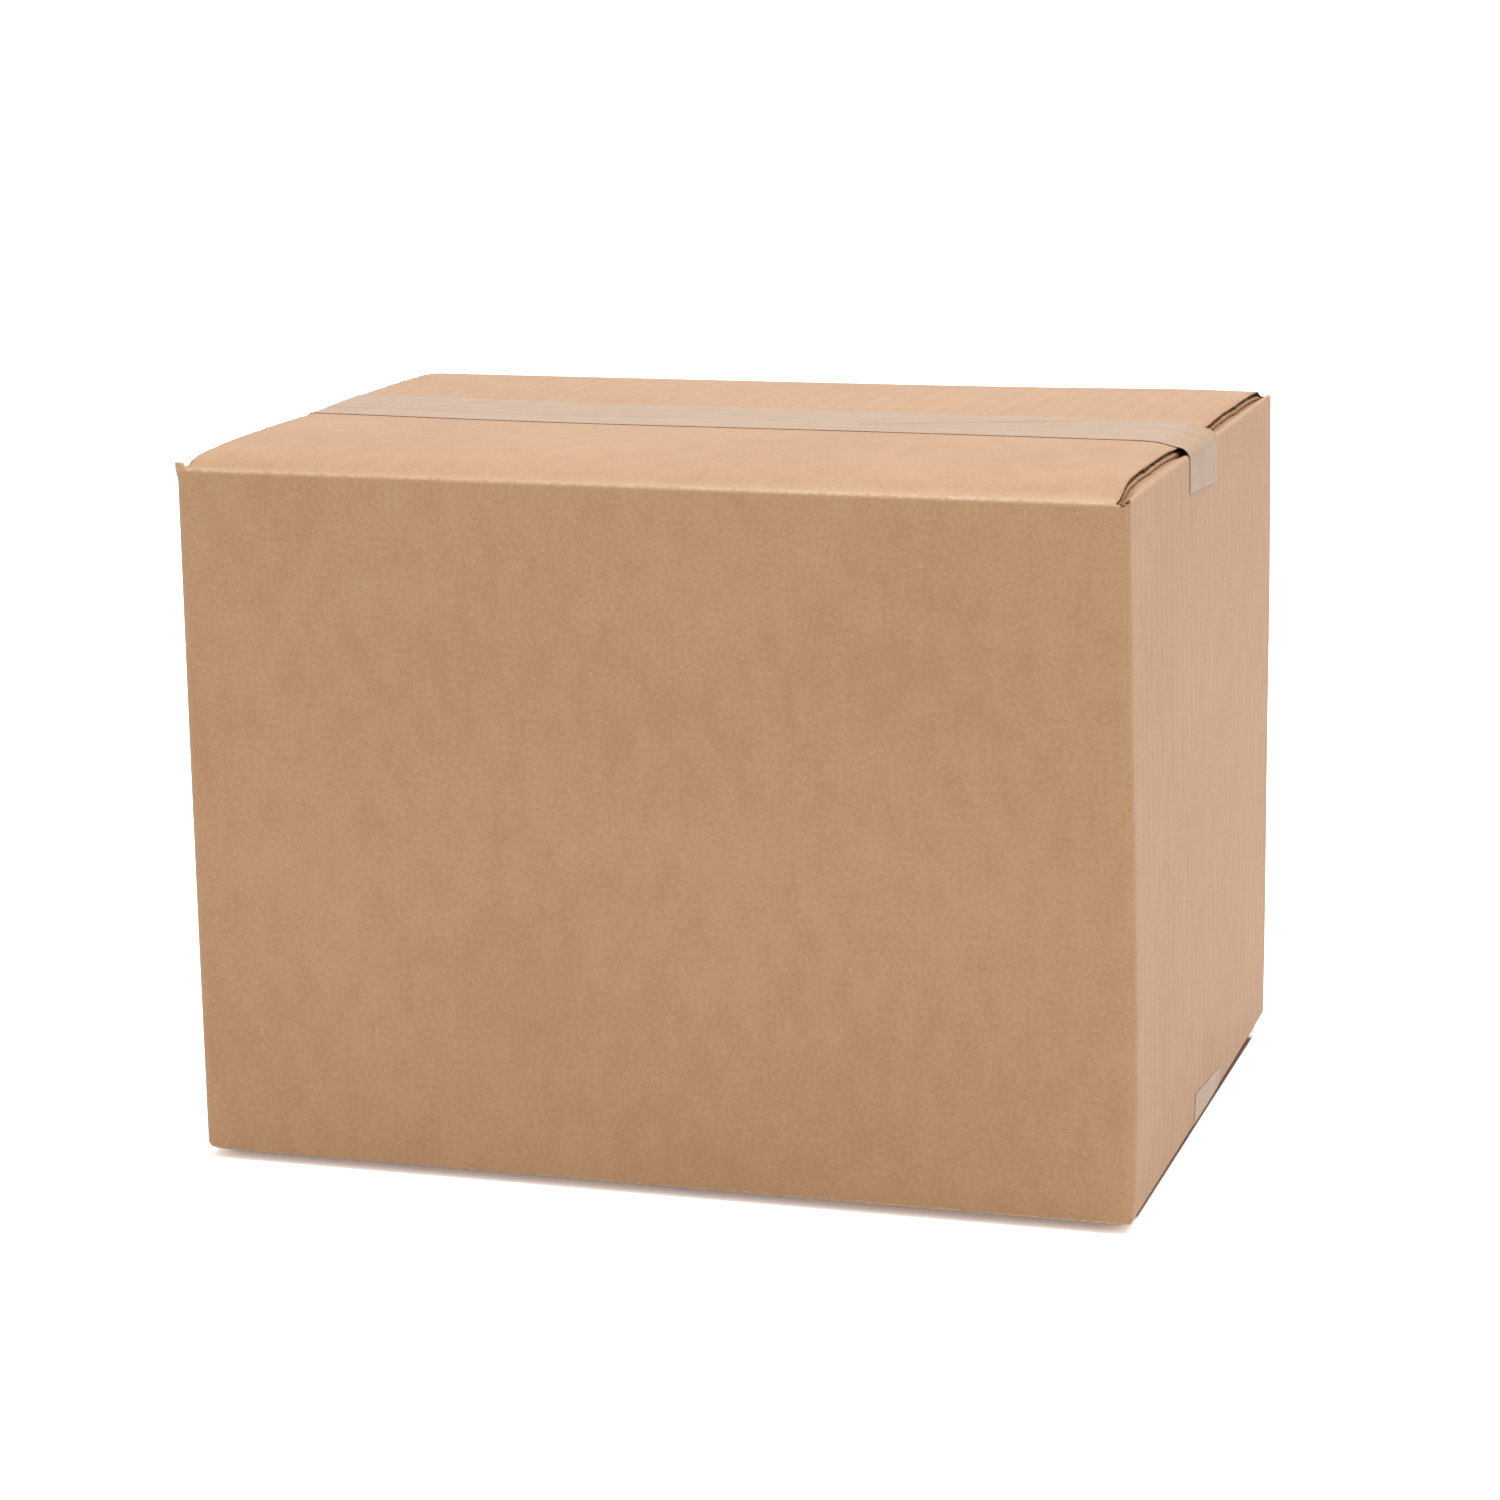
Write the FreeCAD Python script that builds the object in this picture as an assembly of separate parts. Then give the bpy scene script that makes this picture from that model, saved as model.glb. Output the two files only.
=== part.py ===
import FreeCAD, Part
import math
import os

from FreeCAD import Vector

os.makedirs("parts", exist_ok=True)

# A closed shipping carton. One corrugated blank is creased, slotted and folded,
# lapped and glued at one upright corner, and its flaps are held down by a strip
# of tape above and another below.
# Millimetres, +Z up. The origin is on the ground under the middle of the carton,
# X runs along its length and its front panel faces -Y.

# Outside of the carton, from fold to fold
length = 336.0
width = 256.0
fold_height = 245.0

# Board: single wall with a C flute
board = 4.0
crease_gauge = 2.2          # what a scored crease leaves of the board
edge_gauge = 2.7            # what the slotting knife leaves of it at a cut edge
crush_run = 8.0             # how far that crush reaches in from the cut edge
liner = 0.7                 # paper facing on either side of the flutes
flute_depth = 1.8           # depth of the flute laid open along a cut edge

# Outer radii of the folds
upright_radius = 5.0
major_radius = 1.6
minor_radius = 2.4
inner_radius = 0.8          # inside corner of an upright fold
straight_wall = 2.0         # flat wall between a fold and the end of the sleeve

# Slots between the flaps
slot_width = 9.0
slot_root = 0.5             # the slot reaches this far below the fold
seam_gap = 1.0              # between the tips of two major flaps

# Flaps, measured from the level of the folds
climb_run = 14.0            # length of the bend by which a flap leaves that level
minor_sink = 1.5            # the minor flaps are pressed inwards by this much
flap_play = 0.7             # air between a minor and a major flap
flap_clearance = 0.3        # the least of it, where a crushed corner is pinched
top_crown = 1.8             # what the tips of the top flaps stand above their bends

# Glued lap at the rear left corner
lap_width = 34.0
lap_relief = 9.0            # from the folds to the lap's sheared ends
lap_shear = 10.0            # slant of those ends
lap_radius = 2.5
lap_setback = 1.0           # raw edge of the rear panel, back from the left face
lap_gap = 0.4               # groove under that raw edge
lap_gap_depth = 2.5

# Tape
tape_width = 48.0
tape_gauge = 0.1
tape_fullness = 0.7         # how square the strip turns over an end, from 0 to 1
top_tape_left = 17.5        # middle of the top strip at the left end
top_tape_right = -7.0
top_tail_front = 13.3       # the strip's tail below the fold, along its front edge
top_tail_rear = 16.8
base_tape_left = 3.0
base_tape_right = 7.0
base_tail_front = 10.5
base_tail_rear = 6.0

# Levels and half sizes that the rest is placed by
half_length = length / 2
half_width = width / 2
major_rise = board - minor_sink + flap_play
base_fold = tape_gauge + major_rise
top_fold = base_fold + fold_height
fold_reach = max(major_radius, minor_radius, slot_root) + straight_wall
slot_half = slot_width / 2
cut_edge = half_length - slot_half
major_reach = half_width - seam_gap / 2
base_crown = 0              # the ground presses the lower flaps flat
straightness = 1e-6         # edges that bulge by less count as straight


def line(a, b):
    return Part.LineSegment(a, b).toShape()


def bend(a, towards_a, towards_b, b):
    """Smooth curve that leaves a and lands on b by way of two guide points."""
    curve = Part.BezierCurve()
    curve.setPoles([a, towards_a, towards_b, b])
    return curve.toShape()


def rounded_wire(corners):
    """Closed wire through (point, radius) corners, sharp where the radius is 0."""
    arcs = []
    landings = []
    for index, (corner, radius) in enumerate(corners):
        back = (corners[index - 1][0] - corner).normalize()
        ahead = (corners[(index + 1) % len(corners)][0] - corner).normalize()
        half_angle = back.getAngle(ahead) / 2
        start = corner + back * (radius / math.tan(half_angle))
        end = corner + ahead * (radius / math.tan(half_angle))
        landings.append((start, end))
        if radius > 0:
            inward = (back + ahead).normalize()
            middle = corner + inward * (radius / math.sin(half_angle) - radius)
            arcs.append(Part.Arc(start, middle, end).toShape())
    sides = [line(end, landings[(index + 1) % len(landings)][0])
             for index, (start, end) in enumerate(landings)]
    return Part.Wire(Part.__sortEdges__(arcs + sides))


def on_plane(ruled):
    """The same face on a true plane, where straight edges in one plane bound it."""
    corners = [vertex.Point for vertex in ruled.OuterWire.OrderedVertexes]
    outline = Part.makePolygon(corners + corners[:1])
    bulge = ruled.OuterWire.Length - outline.Length
    if bulge > straightness or not outline.findPlane():
        return ruled
    face = Part.Face(outline)
    if face.normalAt(0, 0).dot(ruled.normalAt(0, 0)) < 0:
        face.reverse()
    return face


def through_sections(sections):
    """Solid ruled from section to section."""
    faces = [on_plane(face) for face in Part.makeLoft(sections, True, True).Faces]
    shell = Part.Shell(faces)
    shell.sewShape()
    return Part.Solid(shell).removeSplitter()


def flat(x, y):
    return Vector(x, y, 0)


def outer_outline():
    """Outside of the sleeve, with the lapped joint at the rear left corner."""
    left, right = -half_length, half_length
    front, rear = -half_width, half_width
    lap_face = rear - board
    raw_edge = left + lap_setback
    flute_end = raw_edge + flute_depth
    gap_end = raw_edge + lap_gap_depth
    return rounded_wire([
        (flat(left, front), upright_radius),
        (flat(right, front), upright_radius),
        (flat(right, rear), upright_radius),
        (flat(raw_edge, rear), 0),
        (flat(raw_edge, rear - liner), 0),
        (flat(flute_end, rear - liner), 0),
        (flat(flute_end, lap_face + liner), 0),
        (flat(raw_edge, lap_face + liner), 0),
        (flat(raw_edge, lap_face), 0),
        (flat(gap_end, lap_face), 0),
        (flat(gap_end, lap_face - lap_gap), 0),
        (flat(left, lap_face - lap_gap), lap_radius),
    ])


def inner_outline():
    """Inside of the sleeve, stepped in where the lap lies on the rear panel."""
    left, right = -half_length + board, half_length - board
    front, rear = -half_width + board, half_width - board
    lap_end = left + lap_width
    return rounded_wire([
        (flat(left, front), inner_radius),
        (flat(right, front), inner_radius),
        (flat(right, rear), inner_radius),
        (flat(lap_end, rear), 0),
        (flat(lap_end, rear - board), 0),
        (flat(left, rear - board), inner_radius),
    ])


def lap_trims():
    """What is sheared off the top and the bottom of the lap."""
    left = -half_length + board
    tip = left + lap_width
    lap_face = half_width - board
    trims = []
    for fold, inward in ((base_fold, 1), (top_fold, -1)):
        root = fold + inward * lap_relief
        outline = Part.makePolygon([
            Vector(left, lap_face, fold),
            Vector(tip, lap_face, fold),
            Vector(tip, lap_face, root + inward * lap_shear),
            Vector(left, lap_face, root),
            Vector(left, lap_face, fold),
        ])
        trims.append(Part.Face(outline).extrude(Vector(0, -board, 0)))
    return trims


def sleeve_between(low, high):
    """The four walls and the lap, from one level to another."""
    ring = Part.Face(outer_outline()).cut(Part.Face(inner_outline()))
    tube = ring.extrude(Vector(0, 0, high - low))
    tube.translate(Vector(0, 0, low))
    return tube.cut(lap_trims())


def corner_posts():
    """The upright folds where they run on past the walls, up to the slots."""
    posts = []
    spans = ((base_fold + slot_root, base_fold + fold_reach),
             (top_fold - fold_reach, top_fold - slot_root))
    for low, high in spans:
        ring = sleeve_between(low, high)
        for x in (-half_length, cut_edge):
            for y in (-half_width, half_width - slot_half):
                window = Part.makeBox(slot_half, slot_half, high - low, Vector(x, y, low))
                posts.append(ring.common(window))
    return posts


class Fold:
    """Where one flap hangs: its fold line, which way is in, and which is out."""

    def __init__(self, wall, inward, level, outward):
        self.wall = wall
        self.inward = inward
        self.level = level
        self.outward = outward

    def point(self, station, reach, height):
        """A point at a station along the fold, so far in and so far outwards."""
        across = self.wall + self.inward * reach
        level = self.level + self.outward * height
        return self.place(station, across, level)


class MajorFold(Fold):
    """Fold of a long panel: it runs along X."""

    def place(self, station, across, level):
        return Vector(station, across, level)


class MinorFold(Fold):
    """Fold of an end panel: it runs along Y."""

    def place(self, station, across, level):
        return Vector(across, station, level)


def flap_section(fold, station, radius, reach, rise, tip_rise, gauge, pinched):
    """Section of a flap with its crease and the head of the wall that carries it."""
    def at(across, height):
        return fold.point(station, across, height)

    bevel = radius * (1 - math.sqrt(0.5))
    pinch = bevel + pinched * math.sqrt(0.5)
    landing = radius + climb_run
    halfway = radius + climb_run / 2
    return Part.Wire([
        line(at(0, -fold_reach), at(0, -radius)),
        Part.Arc(at(0, -radius), at(bevel, -bevel), at(radius, 0)).toShape(),
        bend(at(radius, 0), at(halfway, 0), at(halfway, rise), at(landing, rise)),
        line(at(landing, rise), at(reach, tip_rise)),
        line(at(reach, tip_rise), at(reach, tip_rise - gauge)),
        line(at(reach, tip_rise - gauge), at(landing, rise - gauge)),
        line(at(landing, rise - gauge), at(pinch, -pinch)),
        line(at(pinch, -pinch), at(board, -fold_reach)),
        line(at(board, -fold_reach), at(0, -fold_reach)),
    ])


def major_flap(fold, crown, play=0):
    """A long panel's flap, crushed thin along both cut edges.

    With play, the room that the flap takes up: wider, and deeper below, by it.
    """
    side = cut_edge + play
    full = cut_edge - crush_run
    sections = []
    for station, gauge in ((-side, edge_gauge), (-full, board), (full, board), (side, edge_gauge)):
        sections.append(flap_section(
            fold, station, major_radius, major_reach, major_rise, major_rise + crown,
            gauge + play, min(crease_gauge, gauge) + play))
    return through_sections(sections)


def minor_flap(fold, lying_on_it):
    """An end panel's flap, its corners crushed where the major flaps lie on it."""
    low = -half_width + slot_half
    section = flap_section(
        fold, low, minor_radius, half_width, -minor_sink, -minor_sink, board, crease_gauge)
    flap = Part.Face(section).extrude(Vector(0, width - slot_width, 0))
    rooms = [major_flap(major, crown, flap_clearance) for major, crown in lying_on_it]
    return flap.cut(rooms)


def open_flutes(fold, crown):
    """The flute that the knife laid open along each cut edge of a major flap."""
    overrun = 1.0
    flutes = []
    for station, inward in ((-cut_edge, 1), (cut_edge, -1)):
        def at(across, height):
            return fold.point(station - inward * overrun, across, height)

        landing = major_radius + climb_run
        halfway = major_radius + climb_run / 2
        upper = major_rise - liner
        lower = major_rise - edge_gauge + liner
        tip = major_reach + overrun
        outline = Part.Wire([
            bend(at(major_radius, -liner), at(halfway, -liner), at(halfway, upper),
                 at(landing, upper)),
            line(at(landing, upper), at(tip, upper + crown)),
            line(at(tip, upper + crown), at(tip, lower + crown)),
            line(at(tip, lower + crown), at(landing, lower)),
            line(at(landing, lower), at(major_radius, liner - crease_gauge)),
            line(at(major_radius, liner - crease_gauge), at(major_radius, -liner)),
        ])
        depth = inward * (overrun + flute_depth)
        flutes.append(Part.Face(outline).extrude(Vector(depth, 0, 0)))
    return flutes


def build_carton():
    """The whole folded blank: four walls, eight flaps and the glued lap."""
    walls = sleeve_between(base_fold + fold_reach, top_fold - fold_reach)
    pieces = corner_posts()
    flutes = []
    for level, outward, crown in ((top_fold, 1, top_crown), (base_fold, -1, base_crown)):
        majors = [(MajorFold(-half_width, 1, level, outward), crown),
                  (MajorFold(half_width, -1, level, outward), crown)]
        minors = [MinorFold(-half_length, 1, level, outward),
                  MinorFold(half_length, -1, level, outward)]
        for fold, _ in majors:
            pieces.append(major_flap(fold, crown))
            flutes.extend(open_flutes(fold, crown))
        pieces.extend(minor_flap(fold, majors) for fold in minors)
    whole = walls.fuse(pieces)
    return whole.cut(flutes).removeSplitter()


def tape_section(track, level, outward, crown, tail_left, tail_right):
    """Section of a strip from tail to tail, along a track that gives y for each x."""
    slope_run = major_reach - major_radius - climb_run

    def at(x, height):
        return Vector(x, track(x), level + outward * height)

    def roof(x):
        from_seam = max(abs(track(x)) - seam_gap / 2, 0)
        return major_rise + crown * (1 - from_seam / slope_run)

    def face(lift):
        """Edges of one face of the strip, lifted so far off the board."""
        end = half_length + lift
        left, right = roof(-cut_edge) + lift, roof(cut_edge) + lift
        full_x = cut_edge + tape_fullness * (end - cut_edge)
        full_left = tape_fullness * (left + minor_radius) - minor_radius
        full_right = tape_fullness * (right + minor_radius) - minor_radius
        return [
            line(at(-end, -tail_left), at(-end, -minor_radius)),
            bend(at(-end, -minor_radius), at(-end, full_left),
                 at(-full_x, left), at(-cut_edge, left)),
            line(at(-cut_edge, left), at(cut_edge, right)),
            bend(at(cut_edge, right), at(full_x, right),
                 at(end, full_right), at(end, -minor_radius)),
            line(at(end, -minor_radius), at(end, -tail_right)),
        ]

    inner, outer = face(0), face(tape_gauge)
    tips = [line(at(-half_length, -tail_left), at(-half_length - tape_gauge, -tail_left)),
            line(at(half_length, -tail_right), at(half_length + tape_gauge, -tail_right))]
    return Part.Wire(Part.__sortEdges__(inner + outer + tips))


def build_tape(level, outward, crown, mid_left, mid_right, tail_front, tail_rear):
    """A strip over the seam, laid a little askew, with a tail down each end."""
    skew = math.atan2(mid_right - mid_left, length)
    half_strip = tape_width / 2 / math.cos(skew)

    def middle(x):
        return (mid_left + mid_right) / 2 + math.tan(skew) * x

    def tail(y, mid):
        share = (y - mid) / (2 * half_strip) + 0.5
        return tail_front + (tail_rear - tail_front) * share

    tracks = (
        lambda x: middle(x) - half_strip,
        lambda x: -seam_gap / 2,
        lambda x: seam_gap / 2,
        lambda x: middle(x) + half_strip,
    )
    sections = []
    for track in tracks:
        tails = [tail(track(x), middle(x)) for x in (-half_length, half_length)]
        sections.append(tape_section(track, level, outward, crown, *tails))
    return through_sections(sections)


def main():
    shapes = {
        "carton": build_carton(),
        "top_tape": build_tape(top_fold, 1, top_crown, top_tape_left, top_tape_right,
                               top_tail_front, top_tail_rear),
        "bottom_tape": build_tape(base_fold, -1, base_crown, base_tape_left,
                                  base_tape_right, base_tail_front, base_tail_rear),
    }
    for name, shape in shapes.items():
        shape.exportStep(f"parts/{name}.step")
        print(name, len(shape.Solids), "solid,", round(shape.Volume, 1), "mm3")


main()
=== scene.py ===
import bisect
import math

import bmesh
import bpy
from mathutils import Matrix, Vector, noise


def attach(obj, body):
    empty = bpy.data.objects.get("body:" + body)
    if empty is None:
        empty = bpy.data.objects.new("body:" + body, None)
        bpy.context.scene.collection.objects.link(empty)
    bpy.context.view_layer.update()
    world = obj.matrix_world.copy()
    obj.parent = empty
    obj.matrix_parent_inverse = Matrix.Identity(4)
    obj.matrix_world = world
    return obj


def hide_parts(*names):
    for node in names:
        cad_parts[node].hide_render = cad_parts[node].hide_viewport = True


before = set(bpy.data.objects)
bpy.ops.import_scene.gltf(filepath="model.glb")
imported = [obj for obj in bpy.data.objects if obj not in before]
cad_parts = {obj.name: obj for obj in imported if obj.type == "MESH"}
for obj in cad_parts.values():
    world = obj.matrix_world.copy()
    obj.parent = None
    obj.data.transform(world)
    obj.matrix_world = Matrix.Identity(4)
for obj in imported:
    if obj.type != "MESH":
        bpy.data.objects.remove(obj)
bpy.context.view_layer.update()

MM = 0.001

# The carton's own sizes in millimetres, from fold to fold
LENGTH, WIDTH, FOLD_HEIGHT = 336.0, 256.0, 245.0
BASE_FOLD = 3.3                        # the lower folds stand clear of the floor
TOP_FOLD = BASE_FOLD + FOLD_HEIGHT

# Board, and how thin it is crushed at a crease and along a cut edge, over these runs
BOARD, CREASE_GAUGE, EDGE_GAUGE = 4.0, 2.2, 3.2
CREASE_HALF, FLAP_CREASE_RUN, WALL_CREASE_RUN, CRUSH_RUN = 2.0, 12.0, 5.0, 8.0
LINER, FLUTE_DEPTH, FLUTE_TAPER, FLUTE_PITCH = 0.7, 1.8, 0.06, 8.2

# Folds. The flaps' folds pinch the upright one at the front right tight, over these runs
UPRIGHT_RADIUS, LAP_RADIUS, MAJOR_RADIUS, MINOR_RADIUS = 5.0, 2.5, 1.6, 2.4
TOP_PINCH, BASE_PINCH = 2.2, 1.2
TOP_PINCH_RUN, BASE_PINCH_RUN = 45.0, 16.0

# Slots, flaps and the glued lap
SLOT_HALF, SLOT_ROOT, SLOT_NECK, FLAP_REACH = 4.5, 0.5, 3.0, 127.5
CUT_EDGE = LENGTH / 2 - SLOT_HALF
CLIMB_RUN, MINOR_SINK, BASE_RISE, FLAP_CLEARANCE = 14.0, 1.5, 3.2, 0.4
SEAM_BLEND = 5.0                       # the two top flaps' heights meet over this width
LAP_SETBACK, LAP_GAP, LAP_LENGTH, LAP_RELIEF, LAP_SHEAR = 1.0, 0.4, 38.0, 9.0, 10.0
LAP_CLEARANCE = 0.4                    # the flaps beside the lap end this far before its fold

# Folds between the panels, measured along the flat blank from the rear left corner
REAR_RIGHT = LENGTH
FRONT_RIGHT = REAR_RIGHT + WIDTH
FRONT_LEFT = FRONT_RIGHT + LENGTH
LAP_FOLD = FRONT_LEFT + WIDTH - BOARD - LAP_GAP
BLANK_END = LAP_FOLD + LAP_LENGTH

# How far each slot goes on past its fold, corner by corner along the blank; where that
# is below 0, an ear of board is left standing
TOP_SLOTS = (0.5, 0.5, 1.6, -1.6, 0.5)
BASE_SLOTS = (0.5, 0.5, 0.5, 0.5, 0.5)

# The ear leans out by this much to the left and to the front, from this far below its fold
EAR_LEFT, EAR_FRONT, EAR_RUN = 0.8, 0.24, 5.0

# Rise of the arched top flaps above the folds: rows go in from the fold line to
# the flap's tip, columns run from the left cut edge to the right one
ROOF_REACH = (1.6, 6.0, 11.0, 18.0, 30.0, 52.0, 80.0, 100.0, 127.5)
ROOF_STATION = (-163.5, -60.0, 60.0, 140.0, 156.0, 163.5)
FRONT_ROOF = (
    (0.0, 0.0, 0.0, 0.0, 0.0, 0.0),
    (2.0, 1.2, 1.2, 1.2, 0.9, 0.3),
    (2.8, 2.0, 2.0, 2.2, 2.2, 1.9),
    (3.4, 2.8, 2.8, 3.2, 3.6, 4.0),
    (3.9, 3.5, 3.6, 4.1, 4.5, 4.8),
    (4.2, 4.1, 4.3, 4.7, 4.8, 4.7),
    (4.2, 4.2, 4.7, 5.0, 4.9, 4.3),
    (3.8, 3.8, 4.7, 5.1, 4.9, 3.0),
    (3.7, 3.3, 4.7, 5.0, 4.7, 2.2),
)
REAR_ROOF = (
    (0.0, 0.0, 0.0, 0.0, 0.0, 0.0),
    (0.8, 0.9, 1.2, 1.9, 1.8, 1.7),
    (1.5, 1.6, 1.9, 2.8, 2.5, 2.3),
    (2.4, 2.3, 2.7, 3.6, 3.3, 2.7),
    (3.3, 3.0, 3.4, 4.1, 3.8, 3.0),
    (3.9, 3.8, 4.2, 4.6, 4.3, 3.2),
    (4.1, 4.2, 4.6, 4.9, 4.7, 3.6),
    (4.2, 4.1, 4.7, 5.0, 4.8, 3.2),
    (3.9, 3.6, 4.6, 5.0, 4.8, 2.4),
)

# The carton stands a little out of true. At these heights its front and rear right edges
# lean along X by this much, and its front left edge bows out, least at its ends
LEAN_HEIGHT = (0.0, 12.0, 45.0, 110.0, 175.0, 245.0)
FRONT_LEAN = (0.9, 1.6, 1.9, 1.1, -0.3, -1.1)
REAR_LEAN = (0.2, 0.3, 0.5, 0.5, 0.7, 0.2)
BOW_ENDS, BOW_MIDDLE = 0.25, 0.5

# The top's corners rise or sag by this much, left and right. The base lifts at its rear
# right corner, and the right end panel rises over this run below its fold
SAG_FRONT = (0.4, -0.6)
SAG_REAR = (-0.4, -0.4)
BASE_LIFT, END_RISE, END_RISE_RUN = 1.3, 1.3, 40.0

# The panels bulge in and out by up to this much, over spots of this size, but not
# within this run of a fold
BULGE, BULGE_SIZE, BULGE_RUN = 0.35, 90.0, 40.0

# A raw edge. Its dark opening starts this deep under the outer face and is this wide. Its
# two lips waver by this much in short and in long waves, the inner one more in the long
# ones, and so does the cut itself. Each wave has a seed of its own
LIP_DEPTH, OPENING = 0.45, 1.8
WAVE_SHORT, WAVE_LONG, CUT_WAVE_SHORT = 2.2, 7.0, 1.6
LIP_SHORT, LIP_LONG, LIP_LONG_MORE, CUT_SHORT, CUT_LONG = 0.25, 0.15, 0.5, 0.5, 0.4
BULGE_SEED, LIP_SHORT_SEED, LIP_LONG_SEED, CUT_SHORT_SEED, CUT_LONG_SEED = 3, 5, 8, 11, 12

# Nearer than this is taken as touching, and a face or corner looks along an axis when that
# part of its normal is above this
TOUCH, SQUARE_ON = 0.1, 0.9

# Where the flat blank is divided: beside its upright folds, on the lap, beside the flaps'
# folds, and in even steps on the walls and on the lower and upper flaps
NEAR_UPRIGHT = (0.0, 1.5, 3.0, 4.5, 6.0, 8.5, 12.5)
ON_LAP = (1.5, 3.0, 4.5, 12.0, 20.0, 30.0)
NEAR_CREASE = (-9.0, -6.0, -4.0, -2.4, -1.6, -1.0, -0.5, 0.0, 0.5, 1.0, 1.6, 2.4, 4.0, 5.5,
               7.5, 10.0, 13.0, 16.5, 20.0)
COLUMN_STEP, WALL_STEP, BASE_STEP, TOP_STEP, TEAR_STEP = 8.0, 12.0, 4.0, 2.0, 1.0
TEAR_START, TEAR_ROWS = 2.5, 124       # the rows along the top flaps' torn edges

# Packing tape. The film turns over each end of the box in a curve, more squarely the
# nearer its fullness is to 1
TAPE_WIDTH, TOP_GAUGE, BASE_GAUGE = 48.0, 0.14, 0.06
FILM_COLUMNS, FILM_ROWS = 240, 32
TOP_FULLNESS, BASE_FULLNESS = (0.45, 0.6), 0.35
DRAPE = 9.5                            # from the flap's cut edge to the flat of the end panel
FILM_GAP, PUCKER_RISE = 0.04, 0.25

# Puckers in the top film: where each starts and ends along and across the strip, half its
# width, and how strongly it shows. Their shape has a flat crest and blunt tips
PUCKERS = (
    ((44, -8), (128, 21), 2.4, 1.0),
    ((-172, -8), (-106, -5.5), 0.9, 0.5),
)
PUCKER_CREST, PUCKER_TIP = 1.3, 0.6

# The top film also hangs free from this far before the right cut edge to this far past it
FREE_BEFORE, FREE_BEFORE_RUN, FREE_PAST, FREE_PAST_RUN, FREE_SHARE = 6.0, 6.0, 7.0, 4.0, 0.55

# The floor's strip of painted shadow beneath the taped end: where it fades out and where it
# is full, at its near side and its far side along X, and to either side along Y
SHADOW_NEAR, SHADOW_FAR, SHADOW_SIDE = (158.0, 160.0), (167.0, 166.3), (112.0, 106.0)

# Half the floor's width in metres, and the light of the floor's glow and of the room
FLOOR_REACH, GLOW, ROOM_LIGHT = 20, 0.12, 0.72

# The camera, fitted to the box's corners and edges in the photo: its angles in radians, its
# place in metres, and its focal length in pixels of a photo this wide
CAMERA_TURN, CAMERA_TILT, CAMERA_ROLL = -0.30081, 0.22298, -0.01575
CAMERA_PLACE = (0.43701, -1.4136, 0.46511)
FOCAL_PIXELS, PHOTO_PIXELS, SENSOR_MM = 4126.9, 1500, 36


def clamp(value, low=0.0, high=1.0):
    return min(max(value, low), high)


def mix(low, high, share):
    return low + (high - low) * share


def ease(share):
    """0 to 1 with a soft start and a soft finish."""
    share = clamp(share)
    return share * share * (3 - 2 * share)


def through(stations, values, at):
    """Smooth curve through the values at these stations, level at the first one."""
    at = clamp(at, stations[0], stations[-1])
    left = min(bisect.bisect_right(stations, at), len(stations) - 1) - 1
    span = stations[left + 1] - stations[left]

    def slope(index):
        if index == 0:
            return 0.0
        low, high = index - 1, min(index + 1, len(stations) - 1)
        return (values[high] - values[low]) / (stations[high] - stations[low])

    share = (at - stations[left]) / span
    square, cube = share ** 2, share ** 3
    return ((2 * cube - 3 * square + 1) * values[left]
            + (cube - 2 * square + share) * span * slope(left)
            + (3 * square - 2 * cube) * values[left + 1]
            + (cube - square) * span * slope(left + 1))


def bend(share, *poles):
    """Place along a cubic curve that four poles draw out."""
    rest = 1 - share
    weights = (rest ** 3, 3 * share * rest ** 2, 3 * share ** 2 * rest, share ** 3)
    return sum(weight * pole for weight, pole in zip(weights, poles))


def waver(seed, size, *place):
    """Gentle random number from -1 to 1 that changes over about this size."""
    spot = Vector((*place, 0.0, 0.0)[:3]) / size
    apart = Vector((7.3, 3.1, 5.7))    # no two seeds read the same part of the noise
    return noise.noise(spot + seed * apart)


def roof(x, y):
    """Height of the top flaps' outer face above the folds."""
    x = clamp(x, -CUT_EDGE, CUT_EDGE)

    def flap(rise, reach):
        rows = [through(ROOF_STATION, row, x) for row in rise]
        return through(ROOF_REACH, rows, reach)

    seam = ease(y / SEAM_BLEND + 0.5)
    front = flap(FRONT_ROOF, WIDTH / 2 + y) if seam < 1 else 0.0
    rear = flap(REAR_ROOF, WIDTH / 2 - y) if seam > 0 else 0.0
    return mix(front, rear, seam)


def climb(reach, radius):
    """How far a flap has settled, from 0 at its fold to 1."""
    return ease((reach - radius) / CLIMB_RUN)


def board_gauge(past, from_cut):
    """Thickness of the board: crushed at a crease and along a cut edge."""
    run = FLAP_CREASE_RUN if past > 0 else WALL_CREASE_RUN
    creased = mix(CREASE_GAUGE, BOARD, ease((abs(past) - CREASE_HALF) / run))
    if past < -SLOT_ROOT:
        return creased
    return min(creased, mix(EDGE_GAUGE, BOARD, ease(from_cut / CRUSH_RUN)))


class Panel:
    """One upright panel of the sleeve, with where it starts and the ways it runs and faces."""

    def __init__(self, start, x, y, along, outward, is_long, radius):
        self.start = start
        self.corner = Vector((x, y))
        self.along = Vector(along)
        self.outward = Vector(outward)
        self.is_long = is_long
        self.radius = radius

    def at(self, s):
        return self.corner + self.along * (s - self.start)


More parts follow.
